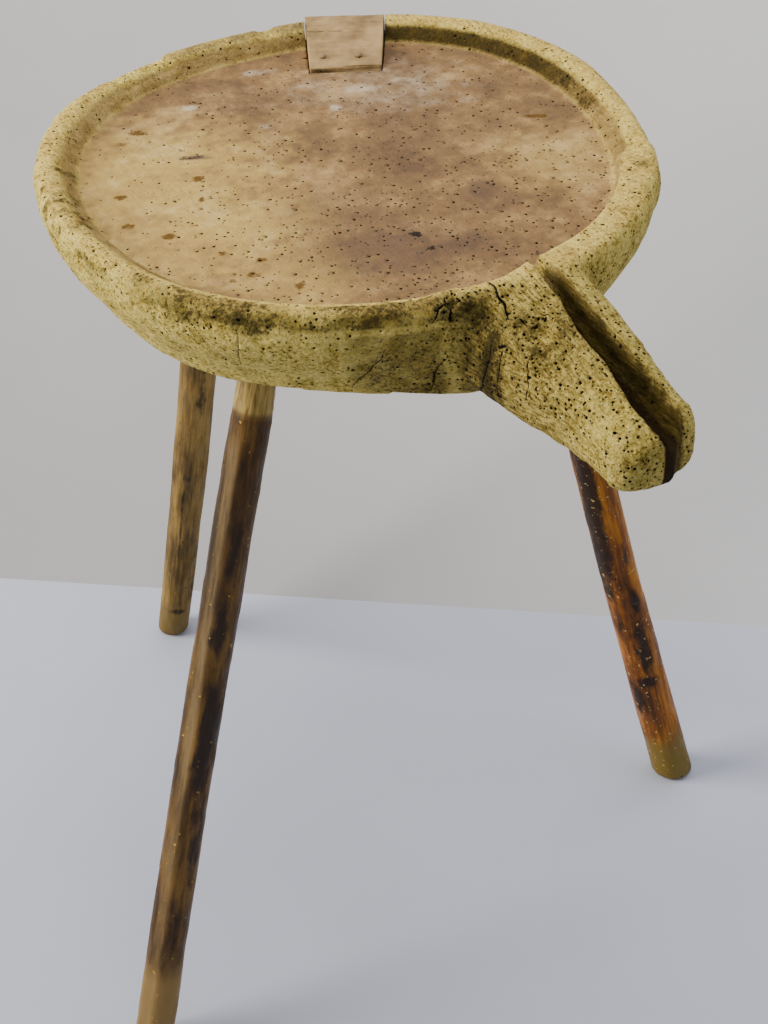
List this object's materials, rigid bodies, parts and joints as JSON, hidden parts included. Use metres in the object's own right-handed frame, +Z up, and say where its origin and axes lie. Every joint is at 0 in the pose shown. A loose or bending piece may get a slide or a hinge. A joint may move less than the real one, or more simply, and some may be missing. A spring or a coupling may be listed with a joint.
{
  "type": "three leg stool",
  "caption": "Hand-hewn round wooden draining stool: a thick slab hollowed into a shallow dish with a raised rim, a carved grooved spout, a nailed rim patch and splayed pole legs.",
  "frame": {"origin": "on the floor, under the middle of the box round the whole object", "axes": "+Z up, square to the dish floor; +Y towards the rim patch; the spout points towards -Y and +X"},
  "size_m": [0.6284, 0.659, 0.78],
  "materials": {
    "tray_wood": "bare weathered wood, bleached pale yellow, worm-eaten all over",
    "patch_wood": "bare wood, worn smooth",
    "nail_iron": "hand-forged iron, dark and rusted",
    "pole_front": "stripped pole, dark brown patina with a low sheen",
    "pole_back_left": "stripped pole, olive brown patina",
    "pole_right": "stripped pole, red-brown patina with blackened patches",
    "wedge_wood": "split wood, clean"
  },
  "bodies": {
    "root": {"tray": "tray_wood", "rim_patch": "patch_wood", "patch_nail_left": "nail_iron", "patch_nail_right": "nail_iron", "leg_front": "pole_front", "leg_back_left": "pole_back_left", "leg_right": "pole_right", "wedge_front": "wedge_wood", "wedge_back_left": "wedge_wood", "wedge_right": "wedge_wood"}
  },
  "joints": []
}
